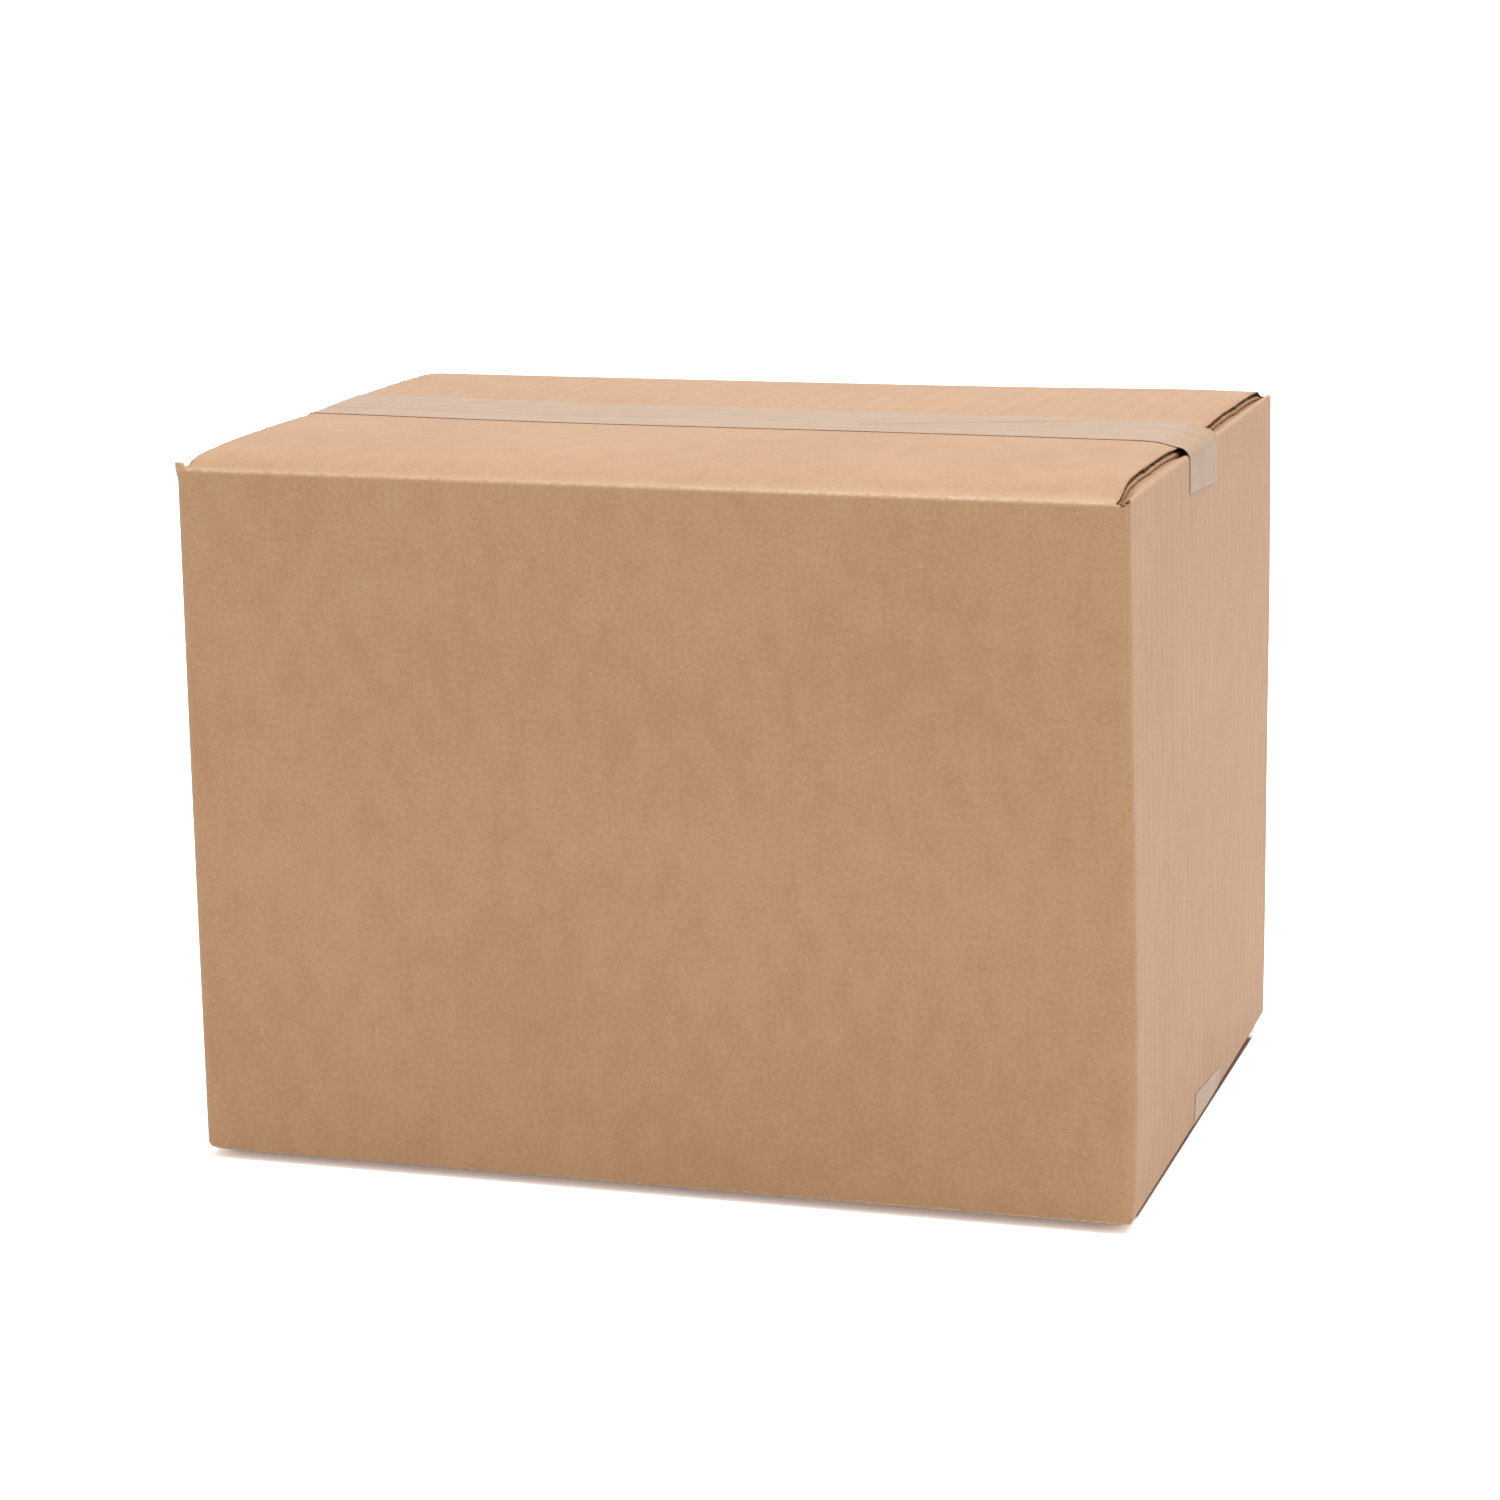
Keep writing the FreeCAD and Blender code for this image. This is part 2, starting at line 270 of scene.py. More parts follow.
PANELS = (
    Panel(0.0, -LENGTH / 2, WIDTH / 2, (1, 0), (0, 1), True, 0.0),
    Panel(REAR_RIGHT, LENGTH / 2, WIDTH / 2, (0, -1), (1, 0), False, UPRIGHT_RADIUS),
    Panel(FRONT_RIGHT, LENGTH / 2, -WIDTH / 2, (-1, 0), (0, -1), True, UPRIGHT_RADIUS),
    Panel(FRONT_LEFT, -LENGTH / 2, -WIDTH / 2, (0, 1), (-1, 0), False, UPRIGHT_RADIUS),
    Panel(LAP_FOLD, -LENGTH / 2, WIDTH / 2 - BOARD - LAP_GAP, (1, 0), (0, 1), True, LAP_RADIUS),
)
STARTS = [panel.start for panel in PANELS]


def pinched(fold, t):
    """Radius of an upright fold at a height: the flaps' folds draw it tight."""
    if fold.start != FRONT_RIGHT:
        return fold.radius
    return min(mix(TOP_PINCH, fold.radius, ease((FOLD_HEIGHT - t) / TOP_PINCH_RUN)),
               mix(BASE_PINCH, fold.radius, ease(t / BASE_PINCH_RUN)))


def sleeve(s, t):
    """Place on the outside of the sleeve, the way it faces there, and its panel."""
    index = max(bisect.bisect_right(STARTS, s) - 1, 0)
    panel = PANELS[index]
    for turn in range(max(index, 1), min(index + 2, len(PANELS))):
        after, before = PANELS[turn], PANELS[turn - 1]
        radius = pinched(after, t)
        if abs(s - after.start) < radius:
            angle = (s - after.start + radius) / radius * math.pi / 4
            facing = before.outward * math.cos(angle) + after.outward * math.sin(angle)
            centre = after.corner - (before.outward + after.outward) * radius
            return centre + facing * radius, facing, panel
    return panel.at(s), panel.outward, panel


def from_cut_edge(s):
    """How far a place along the blank is from the nearest slot's edge."""
    return min(abs(s - corner) for corner in STARTS) - SLOT_HALF


def past_fold(t):
    """How far a height on the blank is past the nearer of the flaps' folds."""
    return max(t - FOLD_HEIGHT, -t)


def flap_height(panel, place, reach, is_top, lift):
    """Height of a flap's outer face past its fold, away from the box."""
    x, y = place
    if panel.is_long:
        return roof(x, y) if is_top else BASE_RISE * climb(reach, MAJOR_RADIUS)
    height = lift - MINOR_SINK * climb(reach, MINOR_RADIUS)
    cover = clamp(x, -CUT_EDGE, CUT_EDGE)
    inside = WIDTH / 2 - abs(y)
    above = roof(cover, y) if is_top else BASE_RISE * climb(inside, MAJOR_RADIUS)
    under = above - board_gauge(inside, CUT_EDGE - abs(cover)) - FLAP_CLEARANCE
    return height + min(0.0, under - height) * ease(reach / SLOT_HALF)


def stand_ear(s, t, depth):
    """Place of a point on the ear of board that stands where the front left slot stops short."""
    place, facing, _ = sleeve(s, t)
    flare = ease(past_fold(t) / EAR_RUN + 1)
    flat = place - facing * CREASE_GAUGE * depth - Vector((EAR_LEFT, EAR_FRONT)) * flare
    return Vector((flat.x, flat.y, BASE_FOLD + t))


def fold(s, t, depth):
    """Folds a point of the flat blank: s along it, t up it, depth from 0 outside to 1 inside."""
    is_top = t > FOLD_HEIGHT / 2
    if is_top and abs(s - FRONT_LEFT) <= SLOT_NECK:
        return stand_ear(s, t, depth)
    place, facing, panel = sleeve(s, t)
    past = past_fold(t)
    radius = MAJOR_RADIUS if panel.is_long else MINOR_RADIUS
    gauge = board_gauge(past, from_cut_edge(s))
    is_raised = is_top and not panel.is_long and place.x > 0
    lift = END_RISE * ease(past / END_RISE_RUN + 1) if is_raised else 0.0
    angle = clamp((past / radius + 1) / 2) * math.pi / 2
    if past <= -radius:
        reach, height = 0.0, past + lift
        middle = min(1.0, (-past - radius) / BULGE_RUN) * min(1.0, from_cut_edge(s) / BULGE_RUN)
        place = place + facing * BULGE * middle * waver(BULGE_SEED, BULGE_SIZE, s, t)
    elif past < radius:
        reach, height = radius * (1 - math.cos(angle)), radius * (math.sin(angle) - 1)
        if not panel.is_long and past > -SLOT_ROOT:
            spot = place - panel.outward * reach
            height += flap_height(panel, spot, reach, is_top, lift)
        else:
            height += lift
    else:
        reach = past
        spot = place - panel.outward * reach
        height = flap_height(panel, spot, reach, is_top, lift)
    if past > -SLOT_ROOT:
        facing = panel.outward
    flat = place - facing * (reach + gauge * depth * math.cos(angle))
    height -= gauge * depth * math.sin(angle)
    return Vector((flat.x, flat.y, TOP_FOLD + height if is_top else BASE_FOLD - height))


def out_of_true(spot):
    """Leans, bows and sags the true carton as the real one does."""
    x, y, z = spot
    over = clamp(x / LENGTH + 0.5)
    back = clamp(y / WIDTH + 0.5)
    up = clamp((z - BASE_FOLD) / FOLD_HEIGHT)
    lean = mix(through(LEAN_HEIGHT, FRONT_LEAN, up * FOLD_HEIGHT),
               through(LEAN_HEIGHT, REAR_LEAN, up * FOLD_HEIGHT), back)
    bow = mix(BOW_ENDS, BOW_MIDDLE, math.sin(math.pi * up))
    shift = lean * over - bow * (1 - over) * (1 - back)
    rise = up * mix(mix(*SAG_FRONT, over), mix(*SAG_REAR, over), back)
    rise += BASE_LIFT * (over * back) ** 3 * (1 - up)
    return Vector((x + shift, y, z + rise))


def blank_columns():
    """Where the flat blank is divided along its length, finest beside the folds."""
    lines = {LAP_FOLD + step for step in ON_LAP}
    for low, high in zip(STARTS, STARTS[1:]):
        lines.update(low + step for step in NEAR_UPRIGHT)
        lines.update(high - step for step in NEAR_UPRIGHT)
        inner = high - low - 2 * NEAR_UPRIGHT[-1]
        count = round(inner / COLUMN_STEP)
        lines.update(low + NEAR_UPRIGHT[-1] + inner * k / count for k in range(1, count))
    return sorted(line for line in lines if LAP_SETBACK < line < BLANK_END)


def steps(start, end, step):
    """Even steps after the start and up to the end."""
    return (start + step * k for k in range(1, int(abs((end - start) / step)) + 1))


def blank_rows():
    """Where it is divided up its height."""
    lines = {FOLD_HEIGHT + step for step in NEAR_CREASE} | {-step for step in NEAR_CREASE}
    lines.update(steps(-NEAR_CREASE[0], FOLD_HEIGHT + NEAR_CREASE[0], WALL_STEP))
    lines.update(steps(-NEAR_CREASE[-1], -FLAP_REACH, -BASE_STEP))
    lines.update(steps(FOLD_HEIGHT + NEAR_CREASE[-1], FOLD_HEIGHT + FLAP_REACH, TOP_STEP))
    return sorted(lines)


def with_edges(faces):
    """These faces with their edges and corners."""
    return list({item for face in faces for item in (face, *face.edges, *face.verts)})


def cut_across(sheet, parts, spot, way):
    """Divides these parts of a flat sheet along one line, and gives them back divided."""
    return bmesh.ops.bisect_plane(sheet, geom=parts, dist=1e-5, plane_co=spot,
                                  plane_no=way)["geom"]


def is_waste(face):
    """True for a piece that the slotting knives take out of the blank."""
    s, t, _ = face.calc_center_median()
    past = past_fold(t)
    if s > LAP_FOLD:
        return past > -LAP_RELIEF - LAP_SHEAR * (s - LAP_FOLD) / LAP_LENGTH
    if s > LAP_FOLD - SLOT_HALF:
        return False
    asides = [abs(s - corner) for corner in STARTS]
    slots = TOP_SLOTS if t > FOLD_HEIGHT / 2 else BASE_SLOTS
    root = slots[asides.index(min(asides))]
    if root > 0 and min(asides) > SLOT_NECK:
        root = SLOT_ROOT
    return past > -root and min(asides) < SLOT_HALF


def cut_blank():
    """The flat blank, slotted, with the lap's sheared ends and its thickness."""
    sheet = bmesh.new()
    size = Matrix.Diagonal((BLANK_END - LAP_SETBACK, FOLD_HEIGHT + 2 * FLAP_REACH, 1, 1))
    middle = Matrix.Translation(((BLANK_END + LAP_SETBACK) / 2, FOLD_HEIGHT / 2, 0))
    bmesh.ops.create_grid(sheet, x_segments=1, y_segments=1, size=0.5, matrix=middle @ size)
    for s in blank_columns():
        cut_across(sheet, with_edges(sheet.faces), (s, 0, 0), (1, 0, 0))
    for t in blank_rows():
        cut_across(sheet, with_edges(sheet.faces), (0, t, 0), (0, 1, 0))
    for root, lean in ((LAP_RELIEF, 1), (FOLD_HEIGHT - LAP_RELIEF, -1)):
        lap = [face for face in sheet.faces if face.calc_center_median().x > LAP_FOLD]
        sheared = (-lean * LAP_SHEAR, LAP_LENGTH, 0)
        cut_across(sheet, with_edges(lap), (LAP_FOLD, root, 0), sheared)
    waste = [face for face in sheet.faces if is_waste(face)]
    bmesh.ops.delete(sheet, geom=waste, context="FACES")
    divide_torn_edges(sheet)
    bmesh.ops.recalc_face_normals(sheet, faces=sheet.faces[:])
    if sheet.faces[:][0].normal.z < 0:
        bmesh.ops.reverse_faces(sheet, faces=sheet.faces[:])
    sheet.normal_update()
    bmesh.ops.solidify(sheet, geom=sheet.faces[:], thickness=BOARD)
    low = min(vertex.co.z for vertex in sheet.verts)
    bmesh.ops.translate(sheet, verts=sheet.verts[:], vec=(0, 0, -BOARD - low))
    bmesh.ops.recalc_face_normals(sheet, faces=sheet.faces[:])
    sheet.normal_update()
    return sheet


def divide_torn_edges(sheet):
    """Fine rows along the cut edges of the two upper major flaps, so that they can tear."""
    for edge in (SLOT_HALF, REAR_RIGHT - SLOT_HALF, FRONT_RIGHT + SLOT_HALF,
                 FRONT_LEFT - SLOT_HALF):
        middles = ((face, face.calc_center_median()) for face in sheet.faces)
        parts = with_edges([face for face, middle in middles
                            if abs(middle.x - edge) < 1 and middle.y > FOLD_HEIGHT])
        for k in range(TEAR_ROWS):
            row = (0, FOLD_HEIGHT + TEAR_START + TEAR_STEP * k, 0)
            parts = cut_across(sheet, parts, row, (0, 1, 0))


def open_flutes(sheet):
    """Sinks the board's raw ends between its two liners, and gives the faces laid open."""
    raw = [face for face in sheet.faces if abs(face.normal.x) > SQUARE_ON]
    even = {"use_even_offset": True, "use_boundary": True}
    bmesh.ops.inset_region(sheet, faces=raw, thickness=LINER, **even)
    walls = bmesh.ops.inset_region(sheet, faces=raw, thickness=FLUTE_TAPER,
                                   depth=-FLUTE_DEPTH, **even)["faces"]
    return raw + walls


def tear(s, t, z):
    """Roughens a raw edge: its dark opening lies near the outside and wavers along it."""
    past = past_fold(t)
    if TOUCH - BOARD < z < -TOUCH:
        share = (-z - LINER) / (BOARD - 2 * LINER)
        z = -LIP_DEPTH - OPENING * share
        z += LIP_SHORT * waver(LIP_SHORT_SEED + share, WAVE_SHORT, s, t)
        z += (LIP_LONG + LIP_LONG_MORE * share) * waver(LIP_LONG_SEED, WAVE_LONG, s, t)
    elif abs(from_cut_edge(s)) < TOUCH and past > -1:
        s += (CUT_SHORT * waver(CUT_SHORT_SEED, CUT_WAVE_SHORT, s, t)
              + CUT_LONG * waver(CUT_LONG_SEED, WAVE_LONG, s, t))
    if past > -SLOT_ROOT - TOUCH:
        s = min(s, LAP_FOLD - LAP_CLEARANCE)
    return s, t, z


def build_carton():
    """The blank, cut, opened along its raw edges and mapped flat, then torn and folded."""
    sheet = cut_blank()
    for face in open_flutes(sheet):
        face.material_index = 1
    blank_map = sheet.loops.layers.uv.new("blank")
    for face in sheet.faces:
        face.smooth = True
        for loop in face.loops:
            loop[blank_map].uv = loop.vert.co.xy * MM
    for vertex in sheet.verts:
        is_by_cut = from_cut_edge(vertex.co.x) < FLUTE_DEPTH + FLUTE_TAPER
        s, t, z = tear(*vertex.co) if is_by_cut else vertex.co
        vertex.co = out_of_true(fold(s, t, -z / BOARD)) * MM
    return into_object(sheet, "carton_board", kraft_liner(), shaded_torn_fluting())


def into_object(sheet, name, *materials):
    """Makes an object at the origin out of a finished sheet."""
    mesh = bpy.data.meshes.new(name)
    sheet.to_mesh(mesh)
    sheet.free()
    for material in materials:
        mesh.materials.append(material)
    made = bpy.data.objects.new(name, mesh)
    bpy.context.scene.collection.objects.link(made)
    return made


def lens(a, b, start, end, half_width):
    """1 in the middle of a narrow lens from start to end, 0 outside it."""
    axis = Vector(end) - Vector(start)
    spot = Vector((a, b)) - Vector(start)
    share = spot.dot(axis) / axis.length_squared
    if not 0 < share < 1:
        return 0.0
    aside = abs(spot.cross(axis)) / axis.length
    width_here = half_width * math.sin(share * math.pi) ** PUCKER_TIP
    return ease(PUCKER_CREST * (1 - aside / width_here))


def film_lift(a, b):
    """How clear of the board the top film is, from 0 to 1."""
    from_cut = a - CUT_EDGE
    free = (ease((from_cut + FREE_BEFORE) / FREE_BEFORE_RUN)
            * ease((FREE_PAST - from_cut) / FREE_PAST_RUN))
    return max(FREE_SHARE * free, *(strength * lens(a, b, start, end, half_width)
                                    for start, end, half_width, strength in PUCKERS))


def lay_film(a, b, middles, tails, is_top):
    """Place of a point of a strip: a along it from the middle of the box, b across it."""
    side = 1 if a > 0 else -1
    past = abs(a) - CUT_EDGE
    x = clamp(a, -LENGTH / 2, LENGTH / 2)
    y = mix(*middles, x / LENGTH + 0.5) + b
    rise = roof(x, y) if is_top else BASE_RISE
    height = rise
    if past > 0:
        near, far = CUT_EDGE, LENGTH / 2
        foot = -MINOR_RADIUS + (END_RISE if is_top and side > 0 else 0.0)
        full = TOP_FULLNESS[side > 0] if is_top else BASE_FULLNESS
        share = min(past / DRAPE, 1.0)
        x = side * bend(share, near, mix(near, far, full), far, far)
        height = bend(share, rise, rise, mix(foot, rise, full), foot)
    if past > DRAPE:
        tail = mix(*tails, b / TAPE_WIDTH + 0.5)
        height -= (past - DRAPE) * (tail - MINOR_RADIUS) / (max(tails) - MINOR_RADIUS)
    return Vector((x, y, TOP_FOLD + height if is_top else BASE_FOLD - height))


def build_tape(name, middles, tails, is_top, materials):
    """A strip of film from tail to tail, with the puckers where it lifts off the board."""
    half = CUT_EDGE + DRAPE + max(tails) - MINOR_RADIUS
    size = Matrix.Diagonal((2 * half, TAPE_WIDTH, 1, 1))
    film = bmesh.new()
    bmesh.ops.create_grid(film, x_segments=FILM_COLUMNS, y_segments=FILM_ROWS, size=0.5,
                          matrix=size)
    strip_map = film.loops.layers.uv.new("strip")
    share_map = film.loops.layers.uv.new("share")
    lifted = film.verts.layers.float.new("lifted")
    for face in film.faces:
        face.smooth = True
        for loop in face.loops:
            spot = loop.vert.co
            loop[strip_map].uv = spot.xy * MM
            loop[share_map].uv = (spot.x / half, spot.y / TAPE_WIDTH * 2)
    for vertex in film.verts:
        a, b, _ = vertex.co
        vertex[lifted] = film_lift(a, b) if is_top else 0.0
        vertex.co = out_of_true(lay_film(a, b, middles, tails, is_top)) * MM
    bmesh.ops.recalc_face_normals(film, faces=film.faces[:])
    if (sum(face.normal.z for face in film.faces) > 0) != is_top:
        bmesh.ops.reverse_faces(film, faces=film.faces[:])
    film.normal_update()
    for vertex in film.verts:
        is_flat = abs(vertex.normal.z) > SQUARE_ON
        vertex.co += vertex.normal * MM * (FILM_GAP + PUCKER_RISE * vertex[lifted] * is_flat)
    made = into_object(film, name, *materials)
    wall = made.modifiers.new("gauge", "SOLIDIFY")
    wall.thickness = (TOP_GAUGE if is_top else BASE_GAUGE) * MM
    wall.offset = 1
    wall.material_offset_rim = 1
    return made


# Sockets of a colour Mix node, and the settings that many nodes share. A Map Range node
# goes softly from 0 at its value 1 to 1 at its value 2
SHARE, UNDER, OVER = 0, 6, 7
COLOURS = {"data_type": "RGBA"}
SOFTLY = {"interpolation_type": "SMOOTHSTEP"}
TIMES, MINUS, TIMES_PLUS = [{"operation": name}
                            for name in ("MULTIPLY", "SUBTRACT", "MULTIPLY_ADD")]

# The worn liner, with painted light. A pale line, partly rubbed liner and partly painted
# highlight, is full this close to its crease and gone this far from it. A band of painted
# light fades out this far before and past the top crease. The front panel is rubbed, and
# painted lighter, more over this run towards its right
LINE_FULL, LINE_GONE, LIT_BAND_BEFORE, LIT_BAND_PAST, RUB_AND_LIGHT_RUN = 0.1, 1.5, 2.5, 9.0, 280.0

# How high the patterns stand, in millimetres
LINER_RELIEF, RIB_RELIEF, FILM_RELIEF, DRAWN_RELIEF = 0.16, 0.06, 0.05, 0.04


def linear(hex_colour):
    """Linear colour from an sRGB hex value."""
    parts = [int(hex_colour[k:k + 2], 16) / 255 for k in (1, 3, 5)]
    curve = [c / 12.92 if c <= 0.04045 else ((c + 0.055) / 1.055) ** 2.4 for c in parts]
    return (*curve, 1.0)


def new_material(name):
    material = bpy.data.materials.new(name)
    material.use_nodes = True
    material.node_tree.nodes.clear()
    return material


def add(owner, kind, feeds=(), **settings):
    """Adds a node with its settings, and feeds its sockets.

    A socket is fed by a plain value, by another node's output, or by a node, which gives
    the first of its outputs that is in use.
    """
    made = owner.node_tree.nodes.new("ShaderNode" + kind)
    for name, value in settings.items():
        setattr(made, name, value)
    for socket, value in dict(feeds).items():
        if isinstance(value, bpy.types.Node):
            value = next(output for output in value.outputs if output.enabled)
        if isinstance(value, bpy.types.NodeSocket):
            owner.node_tree.links.new(value, made.inputs[socket])
        else:
            made.inputs[socket].default_value = value
    return made


def speckle(paper, where, millimetres, detail=2.0, stretch=(1, 1, 1)):
    """Cloudy noise from 0 to 1 whose grains are about this size."""
    spread = add(paper, "Mapping", {"Vector": where, "Scale": stretch})
    return add(paper, "TexNoise", {"Vector": spread, "Scale": 1 / (millimetres * MM),
                                   "Detail": detail, "Roughness": 0.55})


def kraft_colour(paper, where, light, dark, fibre, fleck):
    """Colour of kraft paper and the tone in it: clouds in the pulp, fibres and flecks.

    Real fibres are a few hundredths of a millimetre wide and flecks of bark a few tenths.
    Both would be lost in the render, so they are drawn 0.9 and 0.8 mm wide.
    """
    grain = speckle(paper, where, 1.6, 3.0)
    mottle = speckle(paper, where, 9.0, 2.0, (1, 0.55, 1))
    cloud = speckle(paper, where, 70.0, 1.0)
    tone = add(paper, "Math", {0: cloud, 1: 0.2}, **TIMES)
    tone = add(paper, "Math", {0: mottle, 1: 0.3, 2: tone}, **TIMES_PLUS)
    tone = add(paper, "Math", {0: grain, 1: 0.5, 2: tone}, **TIMES_PLUS)
    paled = add(paper, "MapRange", {0: tone, 1: 0.36, 2: 0.64}, **SOFTLY)
    colour = add(paper, "Mix", {SHARE: paled, UNDER: linear(dark), OVER: linear(light)},
                 **COLOURS)
    for size, detail, stretch, low, high, strength, tint in (
            (0.9, 1.0, (0.35, 1.6, 1), 0.63, 0.8, 0.5, fibre),
            (0.8, 0.0, (1, 1, 1), 0.8, 0.86, 0.35, fleck)):
        grains = speckle(paper, where, size, detail, stretch)
        seen = add(paper, "MapRange", {0: grains, 1: low, 2: high}, **SOFTLY)
        share = add(paper, "Math", {0: seen, 1: strength}, **TIMES)
        colour = add(paper, "Mix", {SHARE: share, UNDER: colour, OVER: linear(tint)}, **COLOURS)
    return colour, tone


def worn_and_lit_crease(paper, where, t, rubbed_and_lit):
    """Share of the liner painted pale in a line along each of the flaps' creases: partly rubbed
    liner, partly painted highlight on the fold.
    """
    away = t
    for _ in range(2):                 # folded over twice: how far off the nearer crease is
        away = add(paper, "Math", {0: away, 1: FOLD_HEIGHT / 2 * MM}, **MINUS)
        away = add(paper, "Math", {0: away}, operation="ABSOLUTE")
    line = add(paper, "MapRange", {0: away, 1: LINE_GONE * MM, 2: LINE_FULL * MM}, **SOFTLY)
    patches = speckle(paper, where, 2.2, 3.0)
    broken = add(paper, "MapRange", {0: patches, 1: 0.3, 2: 0.65}, **SOFTLY)
    worn_and_lit = add(paper, "Math", {0: line, 1: broken}, **TIMES)
    return add(paper, "Math", {0: worn_and_lit, 1: rubbed_and_lit}, **TIMES)


def painted_light_band(paper, t, rubbed_and_lit):
    """Share of the liner painted pale on the top flaps, just past their creases: painted light on
    their climb.
    """
    past = add(paper, "Math", {0: t, 1: FOLD_HEIGHT * MM}, **MINUS)
    inner = add(paper, "MapRange", {0: past, 1: LIT_BAND_PAST * MM, 2: 0}, **SOFTLY)
    outer = add(paper, "MapRange", {0: past, 1: -LIT_BAND_BEFORE * MM, 2: 0}, **SOFTLY)
    band = add(paper, "Math", {0: inner, 1: outer}, **TIMES)
    share = add(paper, "Math", {0: rubbed_and_lit, 1: 0.4}, **TIMES)
    return add(paper, "Math", {0: band, 1: share}, **TIMES)


def kraft_liner():
    """Unbleached kraft liner: long pulp fibres pressed smooth on one side by hot rolls.

    The eye sees a matt tan sheet, cloudy close up, that pales where it is seen edge on,
    with flecks of bark, faint ribs over the flutes with painted shade in their furrows, and a
    pale line along each crease, partly worn liner and partly painted highlight. Painted light
    pales the top flaps just past their creases. The front panel has the most rubbing and
    painted light, more so towards its right, and shows its ribs least.
    """
    paper = new_material("kraft_liner")
    where = add(paper, "UVMap", uv_map="blank")
    colour, tone = kraft_colour(paper, where, "#c59a73", "#b98d66", "#dcb692", "#6e4a2d")
    spot = add(paper, "SeparateXYZ", {0: where})
    s, t = spot.outputs[0], spot.outputs[1]
    after = add(paper, "Math", {0: s, 1: FRONT_RIGHT * MM}, operation="GREATER_THAN")
    before = add(paper, "Math", {0: s, 1: FRONT_LEFT * MM}, operation="LESS_THAN")
    front = add(paper, "Math", {0: after, 1: before}, **TIMES)
    right = add(paper, "MapRange", {0: s, 1: (FRONT_RIGHT + RUB_AND_LIGHT_RUN) * MM, 2: FRONT_RIGHT * MM},
                **SOFTLY)
    # Rubbing and painted light, strongest on the front panel and growing towards its right
    rubbed_and_lit = add(paper, "Math", {0: right, 1: 0.4, 2: 0.25}, **TIMES_PLUS)
    rubbed_and_lit = add(paper, "Math", {0: front, 1: rubbed_and_lit, 2: 0.15}, **TIMES_PLUS)
    # Pale line along the creases: partly rubbed liner, partly painted highlight on the fold
    worn_and_lit = worn_and_lit_crease(paper, where, t, rubbed_and_lit)
    colour = add(paper, "Mix", {SHARE: worn_and_lit, UNDER: colour, OVER: linear("#ecd0b2")}, **COLOURS)
    # Painted light: the top flaps are paled just past their creases, on the climb that the lamps
    # leave darker
    painted_light = painted_light_band(paper, t, rubbed_and_lit)
    colour = add(paper, "Mix", {SHARE: painted_light, UNDER: colour, OVER: linear("#e3c3a2")}, **COLOURS)
    turns = add(paper, "Math", {0: s, 1: 2 * math.pi / (FLUTE_PITCH * MM)}, **TIMES)
    waves = add(paper, "Math", {0: turns}, operation="SINE")
    plainer = add(paper, "Math", {0: front, 1: -0.6, 2: 1.0}, **TIMES_PLUS)
    ribs = add(paper, "Math", {0: waves, 1: plainer}, **TIMES)
    # Painted shade: the liner is darkened in the furrows between the flute ribs
    furrow_shade = add(paper, "MapRange", {0: ribs, 1: 0.2, 2: 1.0}, **SOFTLY)
    furrow_shade = add(paper, "Math", {0: furrow_shade, 1: 0.16}, **TIMES)
    colour = add(paper, "Mix", {SHARE: furrow_shade, UNDER: colour, OVER: linear("#a57a55")}, **COLOURS)
    relief = add(paper, "Math", {0: ribs, 1: RIB_RELIEF}, **TIMES)
    relief = add(paper, "Math", {0: tone, 1: LINER_RELIEF, 2: relief}, **TIMES_PLUS)
    bump = add(paper, "Bump", {"Strength": 0.6, "Distance": MM, "Height": relief})
    shader = add(paper, "BsdfPrincipled", {"Base Color": colour, "Roughness": 0.62, "IOR": 1.5,
                                           "Sheen Weight": 0.12, "Sheen Roughness": 0.4,
                                           "Normal": bump})
    add(paper, "OutputMaterial", {0: shader})
    return paper


def shaded_torn_fluting():
    """Recycled fluting paper, laid open by the knife: matt and fibrous, its tufts over a dark
    ground that is painted shade of the open flutes.

    Its tufts are really under 1 mm and are drawn 2.5 mm wide to show.
    """
    paper = new_material("shaded_torn_fluting")
    tufts = speckle(paper, add(paper, "TexCoord").outputs["Object"], 2.5, 4.0)
    torn = add(paper, "MapRange", {0: tufts, 1: 0.35, 2: 0.65}, **SOFTLY)
    # The dark under colour is painted shade in the open flutes; the tufts are the fluting's own
    # colour
    colour = add(paper, "Mix", {SHARE: torn, UNDER: linear("#4a2f1a"), OVER: linear("#a0764e")},
                 **COLOURS)
    shader = add(paper, "BsdfPrincipled", {"Base Color": colour, "Roughness": 0.95})
    add(paper, "OutputMaterial", {0: shader})
    return paper


def edge_glue_and_shadow(film, strip):
    """Share of the film with a brown line by one edge and one end: partly glue and dirt, partly
    painted shadow of the film's lifted edge.
    """
    place = add(film, "SeparateXYZ", {0: add(film, "UVMap", uv_map="share")})
    side = add(film, "MapRange", {0: place.outputs[1], 1: -0.97, 2: -0.99}, **SOFTLY)
    end = add(film, "MapRange", {0: place.outputs[0], 1: 0.9965, 2: 0.9985}, **SOFTLY)
    line = add(film, "Math", {0: side, 1: end}, operation="MAXIMUM")
    stretches = speckle(film, strip, 30.0, 1.0, (1, 0, 0))
    patchy = add(film, "MapRange", {0: stretches, 1: 0.35, 2: 0.6}, **SOFTLY)
    patchy = add(film, "Math", {0: patchy, 1: 0.6, 2: 0.3}, **TIMES_PLUS)
    return add(film, "Math", {0: line, 1: patchy}, **TIMES)


